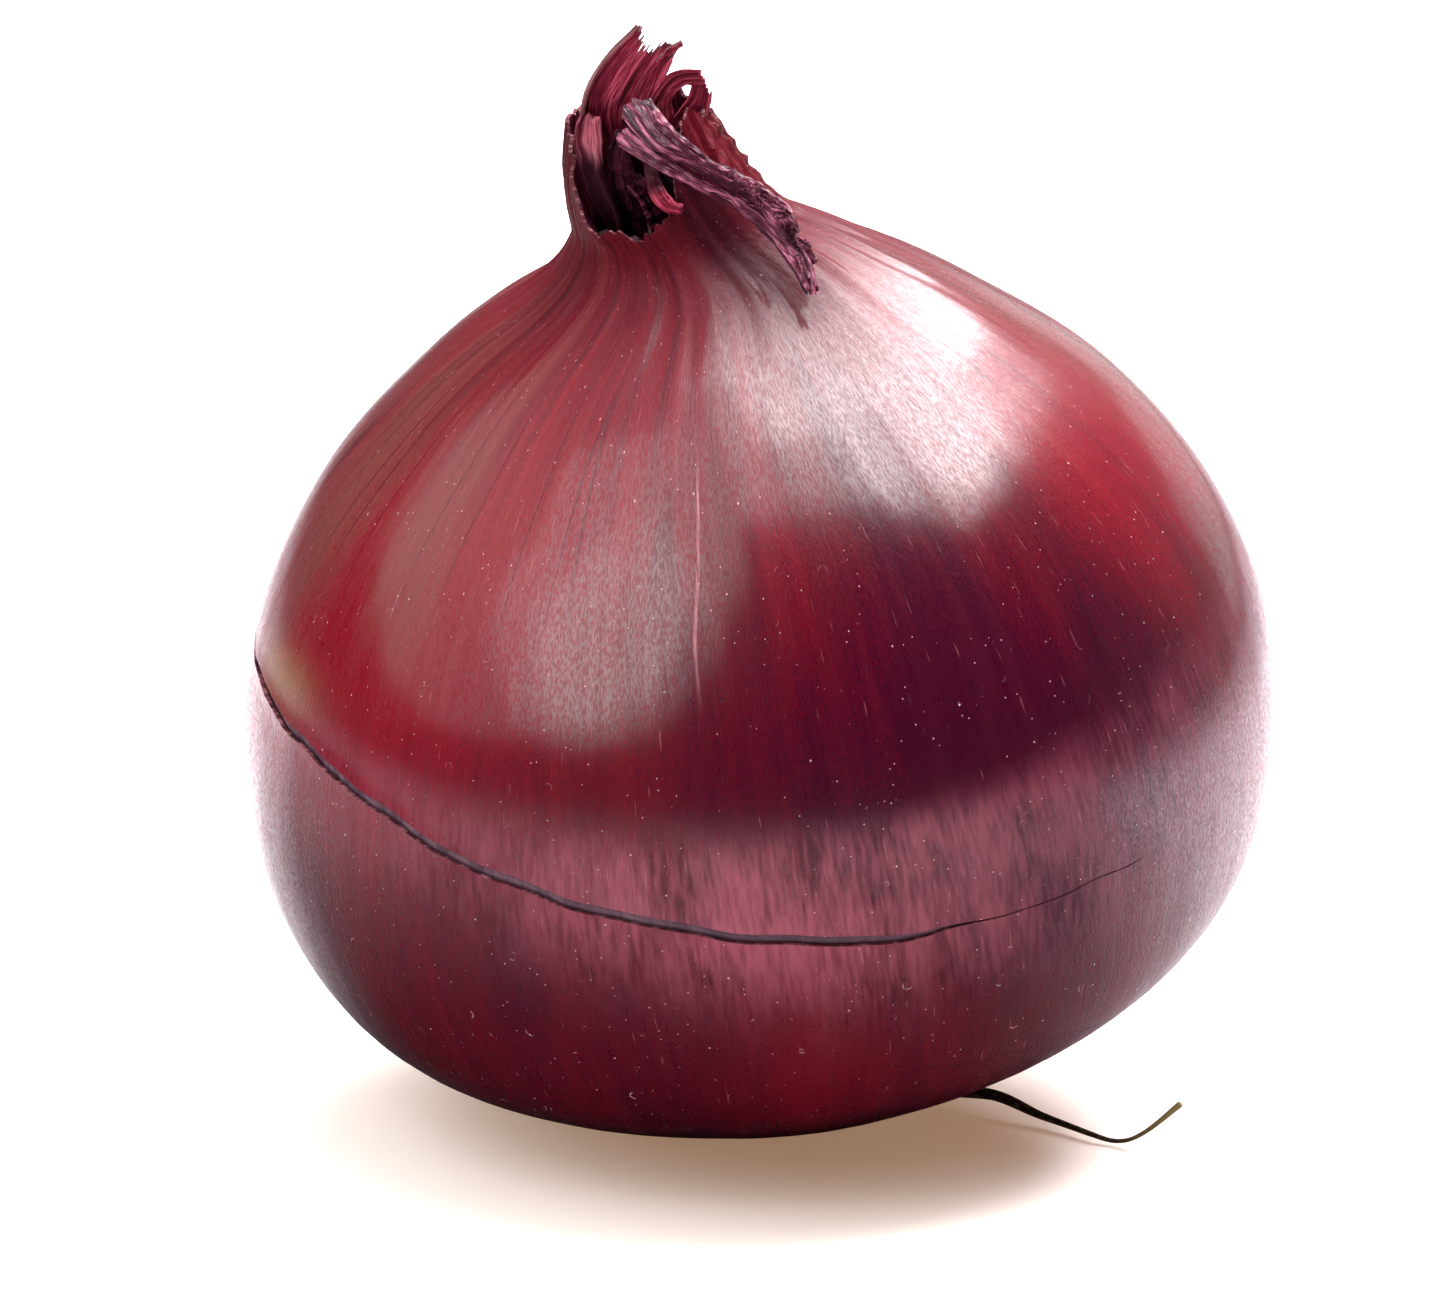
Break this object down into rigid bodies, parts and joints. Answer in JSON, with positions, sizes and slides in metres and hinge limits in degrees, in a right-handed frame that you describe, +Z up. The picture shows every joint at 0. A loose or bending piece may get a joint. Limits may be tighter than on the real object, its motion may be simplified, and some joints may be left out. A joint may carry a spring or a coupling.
{
  "type": "red onion",
  "caption": "Whole red onion with its dry outer skin, a split across the skin, a torn neck with withered leaf ends and a dried root; lies on a small flat spot.",
  "frame": {"origin": "middle of the flat spot that the onion rests on, under its centre of mass", "axes": "+Z up; the front view looks along +Y with +X to its right; the neck leans 7.7 degrees to -X and 11.3 degrees to -Y"},
  "size_m": [0.08, 0.0798, 0.086],
  "materials": {
    "dry_skin": "satin papery skin, crimson to dark maroon, with fine lengthwise fibres",
    "under_skin": "dull purple-grey layer under the dry skin",
    "dry_root": "dry brown root fibre",
    "dry_leaf": "dry, fibrous, dark red",
    "withered_leaf": "dry, wrinkled, dusty pink to grey-purple"
  },
  "bodies": {
    "root": {"outer_skin": "dry_skin", "bulb": "under_skin", "root_plate": "dry_root", "top_leaf": "dry_leaf", "side_leaf": "dry_leaf", "hanging_leaf": "withered_leaf", "inner_leaf": "withered_leaf"}
  },
  "joints": []
}
